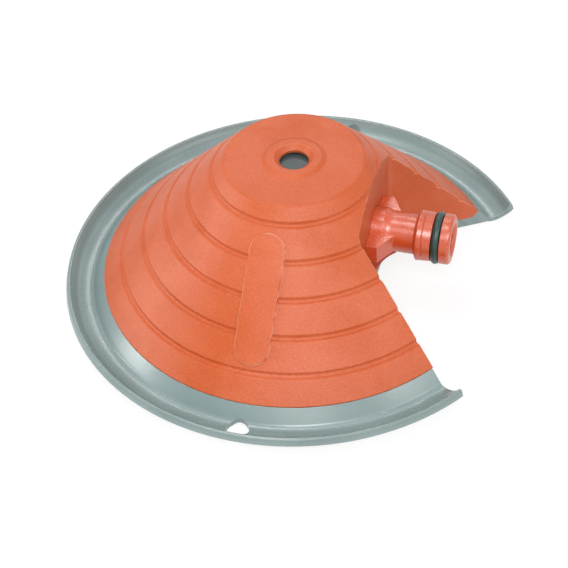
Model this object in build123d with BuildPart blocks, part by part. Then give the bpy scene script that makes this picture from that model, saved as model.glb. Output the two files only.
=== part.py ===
from build123d import *
from math import atan, cos, degrees, radians, sin, sqrt, tan
import os

# A static lawn sprinkler: a stepped cone on a round base, with the hose spigot in a wedge-shaped bay.
# Millimetres. The origin is on the cone's axis at ground level, +Z is up, and +X is along the spigot,
# out of the bay. The raised pad and one peg hole are towards -Y.

# Clearances
slip = 0.15                  # round parts that are pushed together
rest_gap = 0.05              # between parts that lie on each other
joint_gap = 0.1              # between the shell's edges and the base
ring_side_gap = 0.15         # on each side of an O-ring in its groove
cut_spare = 1.0              # how far a cut runs past what it cuts

# Cone shell
shell_radius = 66.9          # outer radius at the lower edge
shell_low = 6.6              # height of that edge above the ground
top_radius = 23.1            # radius of the flat top, before its edge is rounded
top_height = 52.0            # height of the flat top
shell_wall = 2.4             # thickness, square to the slope
top_wall = 2.4
top_edge_round = 1.6
tongue_depth = 2.4           # the shell's locating tongue, below its lower edge
tongue_inset = 2.4           # from the shell's outer edge to the tongue's foot, which a bevel joins
shell_edge_round = 0.3       # at the lower edge

# Stepped grooves between the bands
groove_leg = 1.6             # height of the riser above its ledge
riser_round = 0.3            # at the riser's upper edge
groove_start = 7.55          # from the shell's lower edge in to the lowest riser, along the radius
groove_finish = 3.45         # from the highest riser in to the flat top's edge
groove_count = 5

# Raised ring and funnel round the outlet
outlet_radius = 4.85
funnel_flare = 1.65          # from the outlet's edge to the funnel's, along the radius
funnel_depth = 1.4           # from the ring's crown down to the straight hole
ring_crown = 2.4             # width of the ring's flat crown
ring_slope = 1.7             # width of the ring's outer slope
ring_height = 0.8
swirl_recess = 0.8           # depth of the recess under the outlet, inside the gasket

# Raised pad on the front of the cone
pad_width = 11.5
pad_from_top = 6.3           # from the flat top's edge to the pad, along the radius
pad_from_edge = 8.4          # from the pad to the shell's lower edge, along the radius
pad_proud = 0.5

# Bay for the hose coupling
bay_half_angle = 31.0
bay_half_width = 5.3         # half its width where its sides would pass the cone's axis
bay_end = 26.4               # from the cone's axis to the end wall
bay_corner = 3.0
bay_wall = 2.2

# Base: its reaches go out from the foot of its skin, where the cone's slope meets the trough
base_wall = 1.3
skin_inset = 0.13            # the base's skin stands this far inside the shell's edge
trough_height = 1.8          # lowest line of the trough, above the ground
trough_reach = 1.12
trough_round = 2.2
trough_bow = 1.05            # how far the trough's outer side bows below a straight line
foot_reach = 2.2             # outer edge of the flat that stands on the ground
crest_reach = 7.4            # inner edge of the rolled lip
crest_height = 6.1
lip_crown = 0.95             # width of the lip's crown
lip_crown_drop = 0.2         # its outer edge lies this much lower
lip_reach = 9.0
lip_outer_height = 3.7
lip_under_inset = 0.7        # from the lip's outer edge in to its lower edge
lip_under_height = 2.8
lip_round = 0.3
under_bow = 0.35             # how far the base's underside bows below a straight line
bay_skirt_inset = 0.3        # the base's wall stands back from the shell's wall in the bay
bay_skirt_wall = 1.8
bay_skirt_low = 0.3
rib_count = 12               # ribs under the floor
rib_turn = 15.0              # angle of the first rib
rib_start = 18.0             # radius at which the ribs begin
rib_wall = 1.2
rib_depth = 2.2
drain_radius = 2.0
drain_circle = 32.0
drain_angles = (60, 120, 180, 240, 300)
peg_radius = 3.75
peg_reach = 2.72             # from the foot of the skin out to each peg hole's axis
peg_angles = (90, 270)

# Hose spigot, its water way first
spigot_drop = 24.9           # from the flat top down to the spigot's axis
inlet_radius = 5.0
inlet_step = 3.6             # the wide bore ends this far outside the bay's end wall
inlet_chamfer = 0.9
tail_bore_radius = 3.8
spigot_reach = 26.6          # from the bay's end wall to the nose
nose_length = 3.4
nose_round = 1.1
seat_wall = 1.0              # between the bore and the O-ring's groove
seat_depth = 2.35            # from the nose's surface to the bottom of the groove
spigot_ring_section = 2.7
collar_length = 4.9
collar_proud = 0.1           # the collar's larger end stands this far above the nose
collar_taper = 0.4
collar_lead = 0.9            # length of the slope from the neck up to the collar
collar_round = 0.5
collar_line = 1.9            # from the collar's larger end to the fine groove round it
collar_line_width = 0.5
collar_line_depth = 0.3
neck_wall = 1.7
root_step = 0.7              # the root stands this far above the neck
root_length = 4.0
root_run = 2.6               # length of the hollow slope from the root down to the neck
gusset_reach = 12.8          # from the spigot's axis to the gussets' outer edge
gusset_wall = 6.6
gusset_run = 4.2             # length of the gussets' slanted edge
keel_drop = 18.1             # from the spigot's axis down to the foot of the keel
keel_foot = 1.2              # width of the keel at its foot
keel_bow = 1.3               # how far the keel's front is hollowed
tail_wall = 2.5
tail_lead = 0.6              # chamfer round the tail's end
tail_stop = 0.9              # from the chamber's bore to the tail's end
tail_ring_section = 1.56

# Clip behind the bay's end wall
clip_seat_depth = 1.2
clip_width = 18.0
clip_height = 16.0
clip_wall = 1.7
clip_corner = 1.5

# Swirl chamber under the top
chamber_radius = 14.0
chamber_wall = 2.4
chamber_floor = 2.4
chamber_sump = 0.65          # the chamber's hollow goes this far below the socket's
core_rise = 16.4             # from the spigot's axis up to the shelf that the core stands on
shelf_width = 1.8
gasket_height = 1.6
socket_wall = 2.2
socket_end_gap = 0.4         # between the socket and the clip
ear_count = 3
ear_turn = 60.0              # angle of the first ear
ear_reach = 4.0              # from the chamber's outside to the ears' screws
ear_wall = 1.65
ear_height = 3.0
ear_rise = 9.3               # from the spigot's axis up to the ears' underside

# Swirl core
swirl_gap = 0.8              # between the core and the top, where the water whirls
core_crown = 1.2             # chamfer round the core's upper face
slot_count = 4
slot_width = 3.0
slot_depth = 3.2
slot_tilt = 35.0

# Screws
screw_radius = 1.45
screw_head_radius = 2.9
screw_head_height = 2.0
screw_cross_length = 3.4     # cross recess in the head
screw_cross_width = 0.8
screw_cross_depth = 1.1
screw_point = 1.2            # length of the point's chamfer
screw_point_inset = 0.7
screw_play = 0.3             # round the screws in the base's and the ears' holes
post_wall = 2.1
pilot_spare = 1.0            # the pilot hole runs on past the screw's point
base_screw_length = 14.0
chamber_screw_cover = 2.2    # from the chamber screws' points to the underside of the top
post_inset = 22.9            # from the shell's lower edge in to the base's screws
post_angles = (90, 150, 210, 270)

# Heights and radii worked out for the shell
slope = (top_height - shell_low) / (shell_radius - top_radius)
slope_angle = atan(slope)
wall_level = shell_wall / sin(slope_angle)
ceiling = top_height - top_wall
tongue_low = shell_low - tongue_depth
tongue_radius = shell_radius - tongue_inset
inner_edge_radius = shell_radius - wall_level
funnel_radius = outlet_radius + funnel_flare
ring_crown_radius = funnel_radius + ring_crown
ring_radius = ring_crown_radius + ring_slope
outlet_top = top_height + ring_height
groove_pitch = (shell_radius - top_radius - groove_start - groove_finish) / (groove_count - 1)
ledge_width = groove_leg / slope
cove_round = 0.6 * min(ledge_width, groove_leg)
ledge_round = 0.2 * ledge_width / tan(slope_angle / 2)

# For the base
skin_level = base_wall / sin(slope_angle)
skin_radius = shell_radius - skin_inset
skin_top = shell_low - joint_gap - skin_inset * tongue_depth / tongue_inset
skin_foot = skin_radius + (skin_top - trough_height) / slope
floor_top = tongue_low - joint_gap
floor_low = floor_top - base_wall
trough_radius = skin_foot + trough_reach
crest_radius = skin_foot + crest_reach
lip_radius = skin_foot + lip_reach
lip_under_radius = lip_radius - lip_under_inset
foot_radius = skin_foot + foot_reach
peg_circle = skin_foot + peg_reach
bay_reach = lip_radius + cut_spare

# For the spigot, along its axis and from it
spigot_height = top_height - spigot_drop
nose_end = bay_end + spigot_reach
nose_start = nose_end - nose_length
seat_width = spigot_ring_section + 2 * ring_side_gap
collar_end = nose_start - seat_width
collar_start = collar_end - collar_length
neck_end = collar_start - collar_lead
root_start = bay_end + rest_gap
root_end = bay_end + root_length
gusset_end = root_end + gusset_run
clip_seat_end = bay_end - bay_wall
clip_seat_start = clip_seat_end - clip_wall - 2 * rest_gap
seat_radius = inlet_radius + seat_wall
nose_radius = seat_radius + seat_depth
collar_radius = nose_radius + collar_proud
collar_end_radius = collar_radius - collar_taper
neck_radius = inlet_radius + neck_wall
root_radius = neck_radius + root_step
tail_radius = tail_bore_radius + tail_wall
clip_seat_radius = tail_radius - clip_seat_depth
keel_low = spigot_height - keel_drop
spigot_axis = Axis((0, 0, spigot_height), (1, 0, 0))

# For the swirl chamber
chamber_bore = chamber_radius - chamber_wall
chamber_waist = chamber_bore - shelf_width
chamber_top = ceiling - gasket_height
socket_bore = tail_radius + slip
socket_radius = socket_bore + socket_wall
socket_end = clip_seat_start - socket_end_gap
chamber_hollow_low = spigot_height - socket_bore - chamber_sump
chamber_low = chamber_hollow_low - chamber_floor
core_shelf = spigot_height + core_rise
core_radius = chamber_bore - slip
core_low = core_shelf + rest_gap
core_height = ceiling + swirl_recess - swirl_gap - core_low
tail_end = chamber_bore + tail_stop
tail_ring_place = (tail_end + socket_end) / 2
tail_seat_half = tail_ring_section / 2 + ring_side_gap
tail_seat_radius = socket_bore - tail_ring_section - rest_gap

# For the screws
screw_hole_radius = screw_radius + screw_play
pilot_radius = screw_radius + rest_gap
post_radius = pilot_radius + post_wall
post_circle = shell_radius - post_inset
ear_radius = screw_hole_radius + ear_wall
ear_circle = chamber_radius + ear_reach
ear_angles = [ear_turn + index * 360 / ear_count for index in range(ear_count)]
ear_low = spigot_height + ear_rise
ear_top = ear_low + ear_height
chamber_screw_end = ceiling - chamber_screw_cover


def cone_radius(height, inset=0.0):
    """Radius of the cone's surface at a height, moved in by a level distance."""
    return shell_radius - inset - (height - shell_low) / slope


def cone_height(radius, inset=0.0):
    """Height of the cone's surface at a radius, moved in by a level distance."""
    return shell_low + (shell_radius - inset - radius) * slope


def skin_radius_at(height, inset=0.0):
    """Radius of the base's sloping skin at a height, moved in by a level distance."""
    return skin_radius - inset + (skin_top - height) / slope


def around(circle, angles):
    """Points on a circle about the cone's axis."""
    return [Vector(circle, 0).rotate(Axis.Z, angle) for angle in angles]


def rods(radius, circle, angles, low, high):
    """Upright rods on a circle about the cone's axis."""
    with BuildPart() as group:
        with BuildSketch(Plane.XY.offset(low)):
            with Locations(*around(circle, angles)):
                Circle(radius)
        extrude(amount=high - low)
    return group.part


def turned(points):
    """A closed outline of radius and height, revolved about the cone's axis."""
    with BuildPart() as body:
        with BuildSketch(Plane.XZ):
            with BuildLine():
                Polyline(*points, close=True)
            make_face()
        revolve(axis=Axis.Z)
    return body.part


def bay_prism(grow, low, high):
    """The bay's plan, grown into the shell by a distance, as an upright prism."""
    near = bay_end - grow
    side = tan(radians(bay_half_angle))
    spread = bay_half_width + grow / cos(radians(bay_half_angle))
    with BuildPart() as prism:
        with BuildSketch(Plane.XY.offset(low)):
            with BuildLine():
                Polyline(
                    (near, near * side + spread),
                    (bay_reach, bay_reach * side + spread),
                    (bay_reach, -bay_reach * side - spread),
                    (near, -near * side - spread),
                    close=True,
                )
            plan = make_face()
            fillet(plan.vertices().group_by(Axis.X)[0], bay_corner + grow)
        extrude(amount=high - low)
    return prism.part


def o_ring(place, inner_radius, section):
    """An O-ring about the spigot's axis."""
    with BuildPart() as ring:
        with BuildSketch(Plane.XZ):
            with Locations((place, spigot_height + inner_radius + section / 2)):
                Circle(section / 2)
        revolve(axis=spigot_axis)
    return ring.part


def screws(circle, angles, seat, length):
    """Pan-head screws on a circle, driven in from below, with their heads under a seat."""
    with BuildPart() as group:
        with BuildSketch(Plane.XY.offset(seat - screw_head_height)):
            with Locations(*around(circle, angles)):
                Circle(screw_head_radius)
        extrude(amount=screw_head_height)
        with BuildSketch(Plane.XY.offset(seat)):
            with Locations(*around(circle, angles)):
                Circle(screw_radius)
        extrude(amount=length)
        points = group.edges().group_by(Axis.Z)[-1]
        chamfer(points, screw_point, screw_point_inset)
        with BuildSketch(Plane.XY.offset(seat - screw_head_height)):
            with Locations(*around(circle, angles)):
                Rectangle(screw_cross_length, screw_cross_width)
                Rectangle(screw_cross_width, screw_cross_length)
        extrude(amount=screw_cross_depth, mode=Mode.SUBTRACT)
    return group.part


os.makedirs("parts", exist_ok=True)

# Cone shell: the cone's outside with the stepped grooves, and its inside
outline = [(0, tongue_low), (tongue_radius, tongue_low), (shell_radius, shell_low)]
roundings = [((shell_radius, shell_low), shell_edge_round)]
for index in range(groove_count):
    riser = shell_radius - groove_start - index * groove_pitch
    ledge = cone_height(riser) - groove_leg
    step = [(cone_radius(ledge), ledge), (riser, ledge), (riser, cone_height(riser))]
    outline += step
    roundings += zip(step, (ledge_round, cove_round, riser_round))
outline += [(top_radius, top_height), (0, top_height)]
roundings.append(((top_radius, top_height), top_edge_round))
with BuildPart() as cone_body:
    with BuildSketch(Plane.XZ) as cone_section:
        with BuildLine():
            Polyline(*outline, close=True)
        make_face()
        for corner, rounding in roundings:
            fillet(cone_section.vertices().sort_by_distance(corner)[0], rounding)
    revolve(axis=Axis.Z)

cavity_solid = turned([
    (0, tongue_low),
    (inner_edge_radius, tongue_low),
    (inner_edge_radius, shell_low),
    (cone_radius(ceiling, wall_level), ceiling),
    (0, ceiling),
])

bay_open = bay_prism(0.0, -cut_spare, outlet_top + cut_spare)
bay_lining = bay_prism(bay_wall, -cut_spare, outlet_top + cut_spare)

# The pad: a stadium pushed along the slope's normal, kept to a layer of even height on the cone
pad_top_radius = top_radius + pad_from_top
pad_low_radius = shell_radius - pad_from_edge
pad_middle = (pad_top_radius + pad_low_radius) / 2
pad_length = (pad_low_radius - pad_top_radius) / cos(slope_angle)
pad_level = pad_proud / sin(slope_angle)
pad_plane = Plane(
    origin=(0, -pad_middle, cone_height(pad_middle)),
    x_dir=(0, -cos(slope_angle), -sin(slope_angle)),
    z_dir=(0, -sin(slope_angle), cos(slope_angle)),
)
pad_layer = turned([
    (0, tongue_low),
    (cone_radius(tongue_low, -pad_level), tongue_low),
    (cone_radius(top_height, -pad_level), top_height),
    (0, top_height),
])
with BuildPart() as pad:
    with BuildSketch(pad_plane):
        SlotOverall(pad_length, pad_width)
    extrude(amount=shell_wall, both=True)
    add(pad_layer, mode=Mode.INTERSECT)
    add(cavity_solid, mode=Mode.SUBTRACT)

# Posts inside the shell for the base's screws and the chamber's screws
with BuildPart() as posts:
    add(rods(post_radius, post_circle, post_angles, tongue_low, ceiling))
    add(rods(ear_radius, ear_circle, ear_angles, ear_top + rest_gap, ceiling))
    add(cavity_solid, mode=Mode.INTERSECT)

# Pilot holes for the screws that enter the posts from below
base_pilot_end = floor_low + base_screw_length + pilot_spare
chamber_pilot_end = chamber_screw_end + pilot_spare
with BuildPart() as pilots:
    add(rods(pilot_radius, post_circle, post_angles, floor_low, base_pilot_end))
    add(rods(pilot_radius, ear_circle, ear_angles, ear_low, chamber_pilot_end))

# The hollow between the cone's inside and the bay's lining
with BuildPart() as hollow:
    add(cavity_solid)
    add(bay_lining, mode=Mode.SUBTRACT)

# Funnel and straight hole of the outlet, and the recess under it
outlet_solid = turned([
    (0, ceiling - cut_spare),
    (chamber_bore, ceiling - cut_spare),
    (chamber_bore, ceiling + swirl_recess),
    (outlet_radius, ceiling + swirl_recess),
    (outlet_radius, outlet_top - funnel_depth),
    (funnel_radius, outlet_top),
    (funnel_radius, outlet_top + cut_spare),
    (0, outlet_top + cut_spare),
])

with BuildPart() as cone_shell:
    add(cone_body.part)
    add(pad.part)
    add(hollow.part, mode=Mode.SUBTRACT)
    add(posts.part)
    add(bay_open, mode=Mode.SUBTRACT)
    # Raised ring round the outlet
    with BuildSketch(Plane.XY.offset(top_height)):
        Circle(ring_radius)
    extrude(amount=ring_height, taper=degrees(atan(ring_slope / ring_height)))
    add(outlet_solid, mode=Mode.SUBTRACT)
    # Hole for the spigot's tail through the bay's end wall
    with BuildSketch(Plane.YZ.offset(clip_seat_end)):
        with Locations((0, spigot_height)):
            Circle(tail_radius + slip)
    extrude(amount=bay_wall, mode=Mode.SUBTRACT)
    add(pilots.part, mode=Mode.SUBTRACT)
cone_shell.part.label = "cone_shell"
export_step(cone_shell.part, "parts/cone_shell.step")


# Base: one sheet turned from the floor through the skin and the trough to the rolled lip
trough_room = trough_reach / tan(slope_angle / 2)
inside_skin = [(0, 0), (skin_radius_at(0, skin_level), 0)]
inside_skin += [(skin_radius_at(floor_low, skin_level), floor_low), (0, floor_low)]
rib_end = skin_radius_at(floor_low, skin_level)

# The low wall that follows the bay, inside the skin
with BuildPart() as bay_skirt:
    add(bay_prism(bay_skirt_inset + bay_skirt_wall, bay_skirt_low, floor_low))
    add(turned(inside_skin), mode=Mode.INTERSECT)

with BuildPart() as base_plate:
    with BuildSketch(Plane.XZ) as base_section:
        with BuildLine():
            Polyline(
                (trough_radius, trough_height),
                (skin_foot, trough_height),
                (skin_radius, skin_top),
                (tongue_radius, floor_top),
                (0, floor_top),
                (0, floor_low),
                (skin_radius_at(floor_low, skin_level), floor_low),
                (skin_radius_at(0, skin_level), 0),
                (foot_radius, 0),
            )
            SagittaArc((foot_radius, 0), (lip_under_radius, lip_under_height), -under_bow)
            Polyline(
                (lip_under_radius, lip_under_height),
                (lip_radius, lip_outer_height),
                (crest_radius + lip_crown, crest_height - lip_crown_drop),
                (crest_radius, crest_height),
            )
            SagittaArc((crest_radius, crest_height), (trough_radius, trough_height), trough_bow)
        make_face()
        for corner, rounding in (
            ((skin_foot, trough_height), min(trough_round, 0.95 * trough_room)),
            ((crest_radius, crest_height), lip_round),
            ((crest_radius + lip_crown, crest_height - lip_crown_drop), lip_round),
            ((lip_radius, lip_outer_height), lip_round),
            ((lip_under_radius, lip_under_height), lip_round),
        ):
            fillet(base_section.vertices().sort_by_distance(corner)[0], rounding)
    revolve(axis=Axis.Z)
    # Ribs under the floor
    with BuildSketch(Plane.XY.offset(floor_low - rib_depth)):
        with PolarLocations((rib_start + rib_end) / 2, rib_count, start_angle=rib_turn):
            Rectangle(rib_end - rib_start, rib_wall)
    extrude(amount=rib_depth)
    add(bay_skirt.part)
    add(bay_prism(bay_skirt_inset, -cut_spare, top_height), mode=Mode.SUBTRACT)
    # Peg holes, screw holes and drains
    add(rods(peg_radius, peg_circle, peg_angles, -cut_spare, top_height), mode=Mode.SUBTRACT)
    add(rods(screw_hole_radius, post_circle, post_angles, -cut_spare, top_height), mode=Mode.SUBTRACT)
    add(rods(drain_radius, drain_circle, drain_angles, -cut_spare, top_height), mode=Mode.SUBTRACT)
base_plate.part.label = "base_plate"
export_step(base_plate.part, "parts/base_plate.step")


# Hose spigot: tail, root, neck, collar and nose turned about its own axis, with gussets at the root
collar_line_place = collar_start + collar_line
collar_line_radius = collar_radius - collar_line * collar_taper / collar_length
gusset_meet = sqrt(neck_radius**2 - (gusset_wall / 2) ** 2)
with BuildPart() as hose_spigot:
    with BuildSketch(Plane.XZ.shift_origin((0, 0, spigot_height))) as spigot_section:
        with BuildLine():
            Polyline(
                (nose_end, 0),
                (tail_end, 0),
                (tail_end, tail_radius - tail_lead),
                (tail_end + tail_lead, tail_radius),
                (tail_ring_place - tail_seat_half, tail_radius),
                (tail_ring_place - tail_seat_half, tail_seat_radius),
                (tail_ring_place + tail_seat_half, tail_seat_radius),
                (tail_ring_place + tail_seat_half, tail_radius),
                (clip_seat_start, tail_radius),
                (clip_seat_start, clip_seat_radius),
                (clip_seat_end, clip_seat_radius),
                (clip_seat_end, tail_radius),
                (root_start, tail_radius),
                (root_start, root_radius),
                (root_end, root_radius),
            )
            TangentArc((root_end + root_run, neck_radius), (root_end, root_radius), tangent=(-1, 0))
            Polyline(
                (root_end + root_run, neck_radius),
                (neck_end, neck_radius),
                (collar_start, collar_radius),
                (collar_line_place - collar_line_width / 2, collar_line_radius),
                (collar_line_place, collar_line_radius - collar_line_depth),
                (collar_line_place + collar_line_width / 2, collar_line_radius),
                (collar_end, collar_end_radius),
                (collar_end, seat_radius),
                (nose_start, seat_radius),
                (nose_start, nose_radius),
                (nose_end, nose_radius),
                (nose_end, 0),
            )
        make_face()
        fillet(spigot_section.vertices().sort_by_distance((nose_end, nose_radius))[0], nose_round)
        fillet(spigot_section.vertices().sort_by_distance((collar_start, collar_radius))[0], collar_round)
    revolve(axis=spigot_axis)
    # Level gussets on both sides of the root
    with BuildSketch(Plane.XY.offset(spigot_height)):
        Polygon(
            (root_start, gusset_reach),
            (root_start, -gusset_reach),
            (root_end, -gusset_reach),
            (gusset_end, -gusset_meet),
            (gusset_end, gusset_meet),
            (root_end, gusset_reach),
            align=None,
        )
    extrude(amount=gusset_wall / 2, both=True)
    # Keel under the neck, with a hollow front
    with BuildSketch(Plane.XZ):
        with BuildLine():
            SagittaArc((root_start + keel_foot, keel_low), (gusset_end, spigot_height - neck_radius), keel_bow)
            Polyline(
                (gusset_end, spigot_height - neck_radius),
                (gusset_end, spigot_height),
                (root_start, spigot_height),
                (root_start, keel_low),
                (root_start + keel_foot, keel_low),
            )
        make_face()
    extrude(amount=gusset_wall / 2, both=True)
    # Water way: a wide bore from the nose, a narrower one through the tail
    with BuildSketch(Plane.XZ.shift_origin((0, 0, spigot_height))):
        Polygon(
            (0, 0),
            (nose_end + cut_spare, 0),
            (nose_end + cut_spare, inlet_radius + inlet_chamfer + cut_spare),
            (nose_end - inlet_chamfer, inlet_radius),
            (bay_end + inlet_step, inlet_radius),
            (bay_end + inlet_step, tail_bore_radius),
            (0, tail_bore_radius),
            align=None,
        )
    revolve(axis=spigot_axis, mode=Mode.SUBTRACT)
hose_spigot.part.label = "hose_spigot"
export_step(hose_spigot.part, "parts/hose_spigot.step")


# O-ring that seals the hose coupling on the nose
with BuildPart() as spigot_o_ring:
    add(o_ring((collar_end + nose_start) / 2, seat_radius + rest_gap, spigot_ring_section))
spigot_o_ring.part.label = "spigot_o_ring"
export_step(spigot_o_ring.part, "parts/spigot_o_ring.step")


# O-ring between the spigot's tail and the chamber's socket
with BuildPart() as tail_o_ring:
    add(o_ring(tail_ring_place, tail_seat_radius + rest_gap / 2, tail_ring_section))
tail_o_ring.part.label = "tail_o_ring"
export_step(tail_o_ring.part, "parts/tail_o_ring.step")


# Clip: a fork pushed up into the tail's groove, behind the bay's end wall
with BuildPart() as spigot_clip:
    with BuildSketch(Plane.YZ.offset(clip_seat_start + rest_gap)) as fork:
        with Locations((0, spigot_height)):
            Rectangle(clip_width, clip_height)
            fillet(fork.vertices(), clip_corner)
            Circle(clip_seat_radius + rest_gap, mode=Mode.SUBTRACT)
        with Locations((0, spigot_height + clip_height / 2)):
            Rectangle(2 * (clip_seat_radius + rest_gap), clip_height, mode=Mode.SUBTRACT)
    extrude(amount=clip_wall)
spigot_clip.part.label = "spigot_clip"
export_step(spigot_clip.part, "parts/spigot_clip.step")


# Swirl chamber: a cup under the top, with a socket for the spigot's tail and ears for its screws
with BuildPart() as swirl_chamber:
    with BuildSketch(Plane.XY.offset(chamber_low)):
        Circle(chamber_radius)
    extrude(amount=chamber_top - chamber_low)
    with BuildSketch(Plane.YZ):
        with Locations((0, spigot_height)):
            Circle(socket_radius)
    extrude(amount=socket_end)
    with BuildSketch(Plane.XY.offset(ear_low)):
        with Locations(*around(ear_circle, ear_angles)):
            Circle(ear_radius)
        with PolarLocations(ear_circle / 2, ear_count, start_angle=ear_turn):
            Rectangle(ear_circle, 2 * ear_radius)
    extrude(amount=ear_height)
    with BuildSketch(Plane.XY.offset(chamber_hollow_low)):
        Circle(chamber_waist)
    extrude(amount=chamber_top - chamber_hollow_low, mode=Mode.SUBTRACT)
    with BuildSketch(Plane.XY.offset(core_shelf)):
        Circle(chamber_bore)
    extrude(amount=chamber_top - core_shelf, mode=Mode.SUBTRACT)
    with BuildSketch(Plane.YZ):
        with Locations((0, spigot_height)):
            Circle(socket_bore)
    extrude(amount=socket_end, mode=Mode.SUBTRACT)
    add(rods(screw_hole_radius, ear_circle, ear_angles, ear_low, ear_top), mode=Mode.SUBTRACT)
swirl_chamber.part.label = "swirl_chamber"
export_step(swirl_chamber.part, "parts/swirl_chamber.step")


# Swirl core: a plug with slanted slots round its rim, seen through the outlet
with BuildPart() as core_slots:
    for index in range(slot_count):
        upright = Plane.XY.rotated((0, 0, index * 360 / slot_count))
        rim_point = upright.from_local_coords((core_radius, 0, core_low + core_height / 2))
        slanted = Plane(origin=rim_point, x_dir=upright.x_dir, z_dir=upright.z_dir.rotate(
            Axis((0, 0, 0), upright.x_dir), slot_tilt))
        with BuildSketch(slanted):
            Rectangle(2 * slot_depth, slot_width)
        extrude(amount=core_height, both=True)

with BuildPart() as swirl_core:
    with BuildSketch(Plane.XY.offset(core_low)):
        Circle(core_radius)
    extrude(amount=core_height)
    chamfer(swirl_core.edges().group_by(Axis.Z)[-1], core_crown)
    add(core_slots.part, mode=Mode.SUBTRACT)
swirl_core.part.label = "swirl_core"
export_step(swirl_core.part, "parts/swirl_core.step")


# Gasket between the chamber's rim and the underside of the top
with BuildPart() as chamber_gasket:
    with BuildSketch(Plane.XY.offset(chamber_top)):
        Circle(chamber_radius)
        Circle(chamber_bore, mode=Mode.SUBTRACT)
    extrude(amount=gasket_height)
chamber_gasket.part.label = "chamber_gasket"
export_step(chamber_gasket.part, "parts/chamber_gasket.step")


# Screws that hold the chamber to the posts under the top
with BuildPart() as chamber_screws:
    add(screws(ear_circle, ear_angles, ear_low, chamber_screw_end - ear_low))
chamber_screws.part.label = "chamber_screws"
export_step(chamber_screws.part, "parts/chamber_screws.step")


# Screws that hold the base to the shell
with BuildPart() as base_screws:
    add(screws(post_circle, post_angles, floor_low, base_screw_length))
base_screws.part.label = "base_screws"
export_step(base_screws.part, "parts/base_screws.step")
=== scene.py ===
# %% [markdown]
# # A static lawn sprinkler
# The object is a garden sprinkler without a moving piece. An orange stepped cone stands on a round
# grey-green base, and the water comes in through a spigot that lies in a wedge-shaped bay. The solids
# come from model.glb and keep their places. This lesson gives them their finishes, a floor, soft
# studio light and a camera.

# %% Load the imported sprinkler
import bpy
import math
import numpy as np
from mathutils import Matrix, Vector


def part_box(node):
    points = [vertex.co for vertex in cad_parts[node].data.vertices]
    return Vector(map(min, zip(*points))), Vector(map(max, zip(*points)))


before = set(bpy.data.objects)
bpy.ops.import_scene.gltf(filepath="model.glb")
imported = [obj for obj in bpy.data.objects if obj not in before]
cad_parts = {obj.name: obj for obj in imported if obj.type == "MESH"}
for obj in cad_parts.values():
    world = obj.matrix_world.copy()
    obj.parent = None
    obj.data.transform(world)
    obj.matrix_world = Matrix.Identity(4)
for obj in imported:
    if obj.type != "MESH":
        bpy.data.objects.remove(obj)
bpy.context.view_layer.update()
shell_low, shell_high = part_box("cone_shell")


def in_mm(low, high):
    """The three sides of a box in millimetres."""
    return [round((end - start) * 1000, 1) for start, end in zip(low, high)]


print("pieces:", ", ".join(sorted(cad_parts)))
print("cone shell, mm:", in_mm(shell_low, shell_high))

# %% [markdown]
# ## Helpers for shader nodes
# A finish is a small network of nodes. Making each node by hand takes three or four lines, so a helper
# makes a node, sets its properties and fills its sockets: with a number or a colour, or with a wire from
# another node. Three shorter ones do arithmetic, carry a value from one span to another and mix two
# colours.

# %% Helpers for nodes
def fill(tree, socket, value):
    """A socket takes a wire from another node, or a plain value."""
    if isinstance(value, bpy.types.NodeSocket):
        tree.links.new(value, socket)
    else:
        socket.default_value = value


def add(tree, kind, sockets=None, **properties):
    """One shader node: properties are set by name, and sockets take a value or a wire."""
    made = tree.nodes.new("ShaderNode" + kind)
    for name, value in properties.items():
        setattr(made, name, value)
    for name, value in (sockets or {}).items():
        fill(tree, made.inputs[name], value)
    return made


def maths(tree, operation, first, second=0.0, third=0.0):
    """The result of one step of arithmetic on numbers or wires."""
    step = add(tree, "Math", {0: first, 1: second, 2: third}, operation=operation)
    return step.outputs[0]


def between(tree, value, low, high, to_low=0.0, to_high=1.0):
    """A wire carried smoothly from one span of values to another."""
    step = add(tree, "MapRange", {"Value": value, "From Min": low, "From Max": high,
                                  "To Min": to_low, "To Max": to_high}, interpolation_type="SMOOTHSTEP")
    return step.outputs["Result"]


def blended(tree, share, first, second):
    """Two colours mixed by a share, as a wire."""
    colour_a, colour_b, colour_result = 6, 7, 2
    step = add(tree, "Mix", {"Factor": share, colour_a: first, colour_b: second}, data_type="RGBA")
    return step.outputs[colour_result]


# %% [markdown]
# ## Helpers for node groups
# A group is drawn once and placed in every finish that needs it, so that grain or soft edges mean the
# same thing on each piece. One helper opens a group with its named inputs and outputs, and the other
# places it.

# %% Helpers for groups
def open_group(name, inputs, outputs):
    """A node group with its named sockets: its tree, its inputs and its outputs, both by name."""
    tree = bpy.data.node_groups.new(name, "ShaderNodeTree")
    for label, kind, value in inputs:
        socket = tree.interface.new_socket(label, in_out="INPUT", socket_type="NodeSocket" + kind)
        socket.default_value = value
    for label, kind in outputs:
        tree.interface.new_socket(label, in_out="OUTPUT", socket_type="NodeSocket" + kind)
    entry = tree.nodes.new("NodeGroupInput")
    leave = tree.nodes.new("NodeGroupOutput")
    return tree, entry.outputs, leave.inputs


def place_group(tree, group, **sockets):
    """A node group placed in a finish, with its inputs filled by name."""
    made = tree.nodes.new("ShaderNodeGroup")
    made.node_tree = group
    for name, value in sockets.items():
        fill(tree, made.inputs[name.replace("_", " ")], value)
    return made.outputs


# %% [markdown]
# ## Grain of a spark-eroded mould
# The shell's mould was roughened by sparks, so the plastic carries fine rounded pits, about half a
# millimetre across, and shines unevenly. One noise could give pits of one size only, which looks like
# sand. Two noises, one twice as fine, give pits within pits. A third, a little coarser, makes spots that
# are smoother.

# %% Group: mould grain
grain, enter, leave = open_group(
    "Mould grain",
    [("Pits per metre", "Float", 2400.0)],
    [("Height", "Float"), ("Sheen", "Float")],
)
spot = add(grain, "TexCoord").outputs["Object"]
finer, coarser = 2.1, 0.8
fine_share = 0.45


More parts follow.
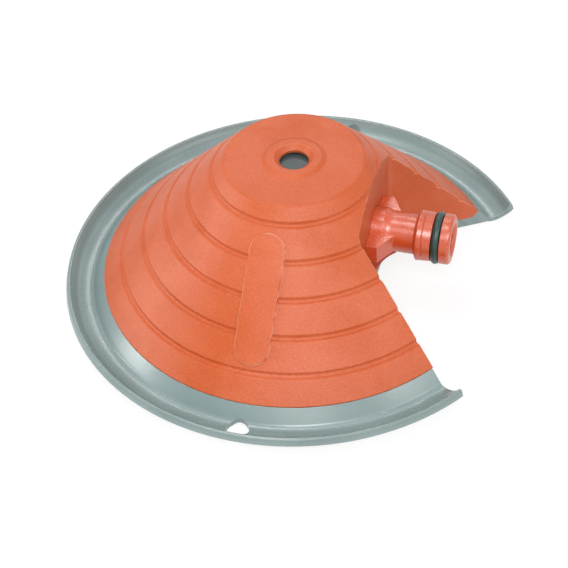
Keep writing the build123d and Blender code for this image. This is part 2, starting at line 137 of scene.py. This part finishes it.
def grain_noise(times, detail):
    """A noise whose cells are finer than the pits by the given number of times."""
    scale = maths(grain, "MULTIPLY", enter["Pits per metre"], times)
    return add(grain, "TexNoise", {"Vector": spot, "Scale": scale, "Detail": detail}).outputs["Fac"]


coarse = grain_noise(1.0, 2.0)
fine = grain_noise(finer, 1.0)
patches = grain_noise(coarser, 3.0)
pits = maths(grain, "MULTIPLY_ADD", fine, fine_share, maths(grain, "MULTIPLY", coarse, 1 - fine_share))
grain.links.new(pits, leave["Height"])
grain.links.new(between(grain, patches, 0.35, 0.65), leave["Sheen"])
print("group:", grain.name, len(grain.nodes), "nodes")

# %% [markdown]
# ## Soft edges
# No moulded edge is sharp: the cutter and the polisher leave a radius of a few tenths of a millimetre,
# and that radius catches a line of light. A modelled radius on every edge would cost a great many faces.
# The Bevel node rounds the normals instead. Where the rounded normal leaves the plain one there is an
# edge, and that difference makes the mask for wear and for painted highlights along edges.

# %% Group: soft edges
edges, enter, leave = open_group(
    "Soft edges",
    [("Radius", "Float", 0.0004), ("Height", "Float", 0.5), ("Depth", "Float", 0.00003)],
    [("Normal", "Vector"), ("Edge", "Float")],
)
rounded = add(edges, "Bevel", {"Radius": enter["Radius"]}, samples=6).outputs["Normal"]
plain = add(edges, "NewGeometry").outputs["Normal"]
agree = add(edges, "VectorMath", {0: rounded, 1: plain}, operation="DOT_PRODUCT").outputs["Value"]
bump = add(edges, "Bump", {"Distance": enter["Depth"], "Height": enter["Height"], "Normal": rounded})
bump.inputs["Strength"].default_value = 1.0
edges.links.new(bump.outputs["Normal"], leave["Normal"])
edges.links.new(between(edges, agree, 0.995, 0.85), leave["Edge"])
print("group:", edges.name, len(edges.nodes), "nodes")

# %% [markdown]
# ## Colour that drifts a little
# Pigment is never stirred in perfectly. As the melt runs through the mould it leaves slow clouds, a few
# parts in a hundred lighter or darker. The group takes the plastic's colour and gives back that colour
# with the clouds in it. Edges are painted paler, and not evenly: worn edges, and on the shell a painted
# highlight along the rounded groove edges. So the group also takes the edge mask and breaks it up with
# a noise.

# %% Group: moulded colour
tint, enter, leave = open_group(
    "Moulded colour",
    [("Colour", "Color", (0.5, 0.5, 0.5, 1)), ("Pale", "Color", (0.7, 0.7, 0.7, 1)),
     ("Edge", "Float", 0.0), ("Wear", "Float", 0.3)],
    [("Colour", "Color")],
)
spot = add(tint, "TexCoord").outputs["Object"]
clouds_per_metre, rubs_per_metre = 38.0, 260.0
clouds = add(tint, "TexNoise", {"Vector": spot, "Scale": clouds_per_metre, "Detail": 4.0})
clouds.inputs["Distortion"].default_value = 0.6


def shifted(saturation, value):
    """The plastic's colour with its saturation and its lightness changed by a factor."""
    change = {"Color": enter["Colour"], "Saturation": saturation, "Value": value}
    return add(tint, "HueSaturation", change).outputs["Color"]


cloud_share = between(tint, clouds.outputs["Fac"], 0.3, 0.7)
drifted = blended(tint, cloud_share, shifted(1.03, 0.93), shifted(0.98, 1.05))
rub = add(tint, "TexNoise", {"Vector": spot, "Scale": rubs_per_metre, "Detail": 3.0}).outputs["Fac"]
# The edges turn pale by this share: wear, and on the shell a painted highlight.
on_edges = maths(tint, "MULTIPLY", enter["Edge"], enter["Wear"])
wear_and_highlight_share = maths(tint, "MULTIPLY", on_edges, between(tint, rub, 0.35, 0.6))
tint.links.new(blended(tint, wear_and_highlight_share, drifted, enter["Pale"]), leave["Colour"])
print("group:", tint.name, len(tint.nodes), "nodes")

# %% [markdown]
# ## Rings left by the lathe
# The mould of the base was turned, so its polished trough and lip carry very fine rings about the axis.
# A wave texture would give rings of one width. Here the distance from the axis feeds a noise that has
# only that one direction, so every ring has its own width and depth. A share of the height is added to
# the distance: without it, steep walls would show no rings at all.

# %% Group: turned rings
rings, enter, leave = open_group(
    "Turned rings",
    [("Rings per metre", "Float", 1400.0)],
    [("Height", "Float"), ("Band", "Float")],
)
spot = add(rings, "TexCoord").outputs["Object"]
flat = add(rings, "VectorMath", {0: spot, 1: (1.0, 1.0, 0.0)}, operation="MULTIPLY").outputs["Vector"]
reach = add(rings, "VectorMath", {0: flat}, operation="LENGTH").outputs["Value"]
depth = add(rings, "SeparateXYZ", {0: spot}).outputs["Z"]
height_share, wider = 0.7, 0.28
along = maths(rings, "MULTIPLY_ADD", depth, height_share, reach)


def ring_noise(scale):
    """A noise in one direction, outwards from the axis."""
    noise = add(rings, "TexNoise", noise_dimensions="1D")
    for name, value in (("W", along), ("Scale", scale), ("Detail", 2.0)):
        fill(rings, noise.inputs[name], value)
    return noise.outputs["Fac"]


fine_rings = ring_noise(enter["Rings per metre"])
wide_rings = ring_noise(maths(rings, "MULTIPLY", enter["Rings per metre"], wider))
rings.links.new(fine_rings, leave["Height"])
rings.links.new(between(rings, wide_rings, 0.35, 0.65), leave["Band"])
print("group:", rings.name, len(rings.nodes), "nodes")

# %% [markdown]
# ## Start and end of a finish
# Every finish starts as an empty Principled shader and ends with the same three wires: a colour, a
# roughness and a normal. These two helpers keep that out of the finishes, so that each of them shows
# only what is its own.

# %% Helpers for finishes
def new_finish(name):
    """An empty finish: its material, its tree and its Principled shader."""
    material = bpy.data.materials.new(name)
    material.use_nodes = True
    tree = material.node_tree
    return material, tree, tree.nodes["Principled BSDF"]


def wire_up(tree, shader, colour, sheen, roughest, smoothest, normal):
    """Colour, roughness and normal wired to the shader: a sheen of 0 is roughest and 1 is smoothest."""
    tree.links.new(colour, shader.inputs["Base Color"])
    tree.links.new(between(tree, sheen, 0.0, 1.0, roughest, smoothest), shader.inputs["Roughness"])
    tree.links.new(normal, shader.inputs["Normal"])


# %% [markdown]
# ## The two oranges
# The cone is moulded in orange polypropylene. It is satin: the pits scatter the light, so highlights are
# broad and speckled. The grain gives the height for the bump and makes the roughness uneven, and painted
# shade makes the colour a shade darker down in the pits. The soft edges' mask paints each groove's pale
# lower line, a painted highlight along the rounded ledge. The spigot has to slide into a hose coupling.
# Its mould is smoother and its orange a shade redder, so the same function serves with shallower pits, a
# lower roughness and a stronger gloss.

# %% Finishes: orange shell and orange gloss
def pitted_orange(name, pits, radius, depth, shaded_pits, on_ridges, pale, edge_wear_and_highlight, roughest, smoothest, gloss):
    """Orange plastic with spark-eroded pits darkened by painted shade, and pale edges of wear and painted
    highlight.
    """
    material, tree, shader = new_finish(name)
    pitted = place_group(tree, grain, Pits_per_metre=pits)
    soft = place_group(tree, edges, Radius=radius, Height=pitted["Height"], Depth=depth)
    # Painted shade: the colour is darker where the pits are deep.
    speckled = blended(tree, between(tree, pitted["Height"], 0.38, 0.62), shaded_pits, on_ridges)
    coloured = place_group(tree, tint, Colour=speckled, Pale=pale, Edge=soft["Edge"], Wear=edge_wear_and_highlight)
    wire_up(tree, shader, coloured["Colour"], pitted["Sheen"], roughest, smoothest, soft["Normal"])
    shader.inputs["Specular IOR Level"].default_value = gloss
    return material


# On the shell the cream pale edges at full strength are mostly a painted highlight along the groove ledges,
# with some wear.
orange_shell = pitted_orange(
    "orange shell plastic", pits=1900.0, radius=0.00045, depth=0.00013,
    shaded_pits=(0.515, 0.084, 0.018, 1), on_ridges=(0.595, 0.116, 0.030, 1), pale=(0.84, 0.42, 0.27, 1),
    edge_wear_and_highlight=1.0, roughest=0.50, smoothest=0.44, gloss=0.5,
)
orange_gloss = pitted_orange(
    "orange gloss plastic", pits=2000.0, radius=0.0004, depth=0.00005,
    shaded_pits=(0.565, 0.082, 0.026, 1), on_ridges=(0.635, 0.102, 0.034, 1), pale=(0.85, 0.36, 0.22, 1),
    edge_wear_and_highlight=0.3, roughest=0.34, smoothest=0.24, gloss=0.9,
)
print("finishes:", orange_shell.name, "and", orange_gloss.name)

# %% [markdown]
# ## The grey-green of the base
# The base is a harder, shinier plastic. Its trough shows broad soft reflections, broken by the lathe's
# rings, so the rings drive the bump, the roughness and faint light and dark streaks. A little of the
# finest grain is added to the rings, because a surface with rings alone looks like metal.

# %% Finish: grey base
grey_base, tree, shader = new_finish("grey base plastic")
grain_in_relief, grain_in_sheen = 0.06, 0.4
turned = place_group(tree, rings, Rings_per_metre=1500.0)
pitted = place_group(tree, grain, Pits_per_metre=3600.0)
relief = maths(tree, "MULTIPLY_ADD", pitted["Height"], grain_in_relief, turned["Height"])
soft = place_group(tree, edges, Radius=0.0003, Height=relief, Depth=0.000005)
streaked = blended(tree, turned["Band"], (0.182, 0.252, 0.248, 1), (0.232, 0.304, 0.300, 1))
coloured = place_group(tree, tint, Colour=streaked, Pale=(0.55, 0.62, 0.61, 1), Edge=soft["Edge"], Wear=0.7)
ring_sheen = maths(tree, "MULTIPLY", turned["Band"], 1 - grain_in_sheen)
sheen = maths(tree, "MULTIPLY_ADD", pitted["Sheen"], grain_in_sheen, ring_sheen)
wire_up(tree, shader, coloured["Colour"], sheen, 0.33, 0.25, soft["Normal"])
shader.inputs["Specular IOR Level"].default_value = 0.7
print("finish:", grey_base.name)

# %% [markdown]
# ## Rubber
# The O-rings and the gasket are dark green-black rubber, smooth from their moulds. A faint grey bloom
# comes to the surface of such rubber with time, in spots, so here the pale colour follows the smooth
# spots and not the edges.

# %% Finish: seal rubber
seal_rubber, tree, shader = new_finish("seal rubber")
pitted = place_group(tree, grain, Pits_per_metre=2800.0)
soft = place_group(tree, edges, Radius=0.0002, Height=pitted["Height"], Depth=0.00001)
bloomed = place_group(tree, tint, Colour=(0.017, 0.046, 0.040, 1), Pale=(0.07, 0.10, 0.10, 1),
                      Edge=pitted["Sheen"], Wear=0.25)
wire_up(tree, shader, bloomed["Colour"], pitted["Sheen"], 0.42, 0.30, soft["Normal"])
print("finish:", seal_rubber.name)

# %% [markdown]
# ## Plastic inside the shell
# The pieces inside the shell are plain grey-green plastic, satin and with a fine grain. Only the core is
# seen, through the outlet, and it is the darker of the two greys.

# %% Finishes: inner grey and core grey
def grey_inside(name, colour):
    """A satin grey-green plastic for the pieces inside the shell."""
    material, tree, shader = new_finish(name)
    pitted = place_group(tree, grain, Pits_per_metre=3000.0)
    soft = place_group(tree, edges, Radius=0.0003, Height=pitted["Height"], Depth=0.00002)
    coloured = place_group(tree, tint, Colour=colour, Pale=(0.30, 0.34, 0.34, 1),
                           Edge=soft["Edge"], Wear=0.3)
    wire_up(tree, shader, coloured["Colour"], pitted["Sheen"], 0.50, 0.38, soft["Normal"])
    return material


inner_grey = grey_inside("inner grey plastic", (0.06, 0.08, 0.08, 1))
core_grey = grey_inside("core grey plastic", (0.042, 0.062, 0.064, 1))
print("finishes:", inner_grey.name, "and", core_grey.name)

# %% [markdown]
# ## Steel of the screws
# The screws are zinc-plated steel. That is a metal, so the colour tints its reflections, and fine turned
# marks make it shine unevenly.

# %% Finish: screw steel
screw_steel, tree, shader = new_finish("zinc-plated steel")
turned = place_group(tree, rings, Rings_per_metre=2600.0)
soft = place_group(tree, edges, Radius=0.0002, Height=turned["Height"], Depth=0.00001)
coloured = place_group(tree, tint, Colour=(0.60, 0.60, 0.59, 1), Pale=(0.80, 0.80, 0.79, 1),
                       Edge=soft["Edge"], Wear=0.5)
wire_up(tree, shader, coloured["Colour"], turned["Band"], 0.42, 0.28, soft["Normal"])
shader.inputs["Metallic"].default_value = 1.0
print("finish:", screw_steel.name)

# %% [markdown]
# ## Dress the pieces
# Each CAD piece keeps its mesh and gets its finish in its material slot. A table from piece to finish is
# easier to read than a line for each, and the loop stops with a plain error if a piece has no finish.

# %% Assign the finishes
finish_of = {
    "cone_shell": orange_shell,
    "base_plate": grey_base,
    "hose_spigot": orange_gloss,
    "spigot_o_ring": seal_rubber,
    "tail_o_ring": seal_rubber,
    "chamber_gasket": seal_rubber,
    "spigot_clip": inner_grey,
    "swirl_chamber": inner_grey,
    "swirl_core": core_grey,
    "chamber_screws": screw_steel,
    "base_screws": screw_steel,
}
for name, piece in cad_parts.items():
    piece.data.materials.clear()
    piece.data.materials.append(finish_of[name])
    print(f"{name}: {finish_of[name].name}, {len(piece.data.polygons)} faces")

# %% [markdown]
# ## A pale floor
# The sprinkler stands on a plain white table. The floor is one large square just under the base. For the
# camera and for reflections it shows mostly white, so that the background is clean, and the rest of it
# is an ordinary matt surface that keeps a faint shadow. The room does the same: its walls look white,
# and light the sprinkler with a quarter of that, so that the lamps are left to shape it.

# %% Floor and background
def level_square(half, height):
    """Corners of a square: x and y are half times minus one or one, and z is the height."""
    signs = np.array([[-1, -1], [1, -1], [1, 1], [-1, 1]], float)
    return np.column_stack([signs * half, np.full(4, height)])


floor_half, floor_height = 3.0, -0.00005
floor_mesh = bpy.data.meshes.new("floor")
floor_mesh.from_pydata(level_square(floor_half, floor_height).tolist(), [], [(0, 1, 2, 3)])
floor = bpy.data.objects.new("floor", floor_mesh)
bpy.context.scene.collection.objects.link(floor)


def seen_directly(tree):
    """1 for rays from the camera, from a reflection or through glass, and 0 for the rest."""
    path = add(tree, "LightPath").outputs
    glossy = maths(tree, "MAXIMUM", path["Is Camera Ray"], path["Is Glossy Ray"])
    return maths(tree, "MAXIMUM", glossy, path["Is Transmission Ray"])


# %% [markdown]
# ## White table and white room
# A mix of two shaders makes the table: a matt one, and a glowing one that only direct rays meet.

# %% Table and room
glow_share, glow_strength, room_level = 0.8, 1.04, 0.26
white_table, tree, shader = new_finish("white table")
shader.inputs["Base Color"].default_value = (0.88, 0.88, 0.88, 1)
shader.inputs["Roughness"].default_value = 1.0
shader.inputs["Specular IOR Level"].default_value = 0.0
glow = add(tree, "Emission", {"Color": (1, 1, 1, 1), "Strength": glow_strength})
share = maths(tree, "MULTIPLY", seen_directly(tree), glow_share)
both = add(tree, "MixShader", {0: share, 1: shader.outputs[0], 2: glow.outputs[0]})
tree.links.new(both.outputs[0], tree.nodes["Material Output"].inputs["Surface"])
floor_mesh.materials.append(white_table)

world = bpy.data.worlds.new("white room")
bpy.context.scene.world = world
world.use_nodes = True
tree = world.node_tree
room = tree.nodes["Background"]
room.inputs["Color"].default_value = (1, 1, 1, 1)
room_strength = maths(tree, "MULTIPLY_ADD", seen_directly(tree), 1.0 - room_level, room_level)
tree.links.new(room_strength, room.inputs["Strength"])
print("room level", room_level)

# %% [markdown]
# ## Soft studio light
# A lamp is told by where it stands and by how bright a white card facing it would look. For an area lamp
# of power P at a distance d, that brightness is P over pi squared times d squared, so the power follows
# from it. The small boxes overhead and at the back give the glossy pieces their glints, and the large
# ones in front and at the sides lay a broad sheen on the cone.

# %% Lamps
lamp_aim_height = 0.02


def soft_box(name, azimuth, elevation, distance, width, height, level):
    """A rectangular lamp that looks at the sprinkler: level is the brightness of a white card facing it."""
    a, e = math.radians(azimuth), math.radians(elevation)
    towards = Vector((math.cos(a) * math.cos(e), math.sin(a) * math.cos(e), math.sin(e)))
    aim = Vector((0, 0, lamp_aim_height))
    lamp = bpy.data.lights.new(name, "AREA")
    lamp.shape = "RECTANGLE"
    lamp.size, lamp.size_y = width, height
    lamp.energy = level * math.pi**2 * distance**2
    box = bpy.data.objects.new(name, lamp)
    bpy.context.scene.collection.objects.link(box)
    box.matrix_world = towards.to_track_quat("Z", "Y").to_matrix().to_4x4()
    box.location = towards * distance + aim
    print(f"{name}: {lamp.energy:.2f} W")


soft_box("overhead box", azimuth=160, elevation=80, distance=1.0, width=0.22, height=0.22, level=0.20)
soft_box("back box", azimuth=105, elevation=44, distance=1.0, width=0.22, height=0.15, level=0.11)
soft_box("left box", azimuth=-166, elevation=20, distance=1.1, width=0.36, height=0.30, level=0.36)
soft_box("right box", azimuth=-18, elevation=36, distance=1.2, width=0.45, height=0.35, level=0.24)
soft_box("front box", azimuth=-74, elevation=50, distance=1.2, width=0.42, height=0.30, level=0.56)

# %% [markdown]
# ## The camera
# The camera looks down at about 44 degrees, from the side of the raised pad, turned a little towards the
# bay. It is tilted sideways by three degrees. Its long lens and its distance of 0.56 m give the
# perspective, and a small shift puts the cone's axis where it belongs.

# %% Camera
azimuth, elevation, roll = math.radians(17.5), math.radians(43.978), math.radians(3.044)
camera_distance, camera_aim_height = 0.56, 0.0035
right = Vector((math.cos(azimuth), math.sin(azimuth), 0))
away = Vector((math.sin(azimuth), -math.cos(azimuth), 0))
back = away * math.cos(elevation) + Vector((0, 0, math.sin(elevation)))
up = back.cross(right)
turned_right = right * math.cos(roll) - up * math.sin(roll)
turned_up = right * math.sin(roll) + up * math.cos(roll)
stand = Matrix((turned_right, turned_up, back)).transposed().to_4x4()
stand.translation = Vector((0, 0, camera_aim_height)) + back * camera_distance
camera = bpy.data.objects.new("camera", bpy.data.cameras.new("camera"))
bpy.context.scene.collection.objects.link(camera)
camera.matrix_world = stand
camera.data.lens = 103.26
camera.data.shift_x = -0.02761
camera.data.shift_y = -0.03125
camera.data.clip_start = 0.01
bpy.context.scene.camera = camera
bpy.context.scene.view_settings.view_transform = "Standard"
print("lens", camera.data.lens)
